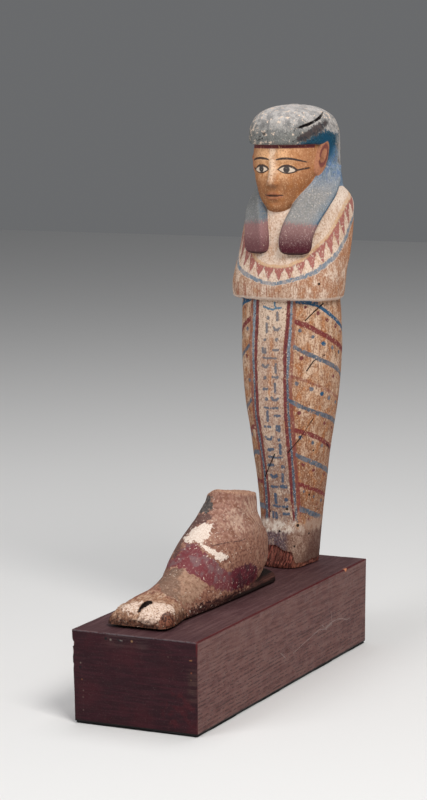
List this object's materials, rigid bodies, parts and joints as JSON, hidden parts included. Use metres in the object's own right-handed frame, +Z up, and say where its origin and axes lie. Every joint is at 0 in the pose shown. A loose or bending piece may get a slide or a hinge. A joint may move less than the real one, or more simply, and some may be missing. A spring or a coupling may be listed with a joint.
{
  "type": "ptah-sokar-osiris figure",
  "caption": "Carved and painted wooden mummiform figure standing on a plain block behind a small headless falcon.",
  "frame": {"origin": "middle of the block's flat underside", "axes": "+Z up; the figure faces -Y and stands near the block's back end; the falcon lies in front of it with its tail toward -Y"},
  "size_m": [0.111, 0.344, 0.478],
  "materials": {
    "painted base wood": "thin worn maroon-brown paint, dull, with pale dust",
    "painted figure wood": "gesso with matt ochre, cream, maroon and blue paint, worn and cracked",
    "worn falcon wood": "mostly bare aged wood with remains of gesso and maroon paint"
  },
  "bodies": {
    "root": {"base": "painted base wood", "figure": "painted figure wood", "falcon": "worn falcon wood"}
  },
  "joints": []
}
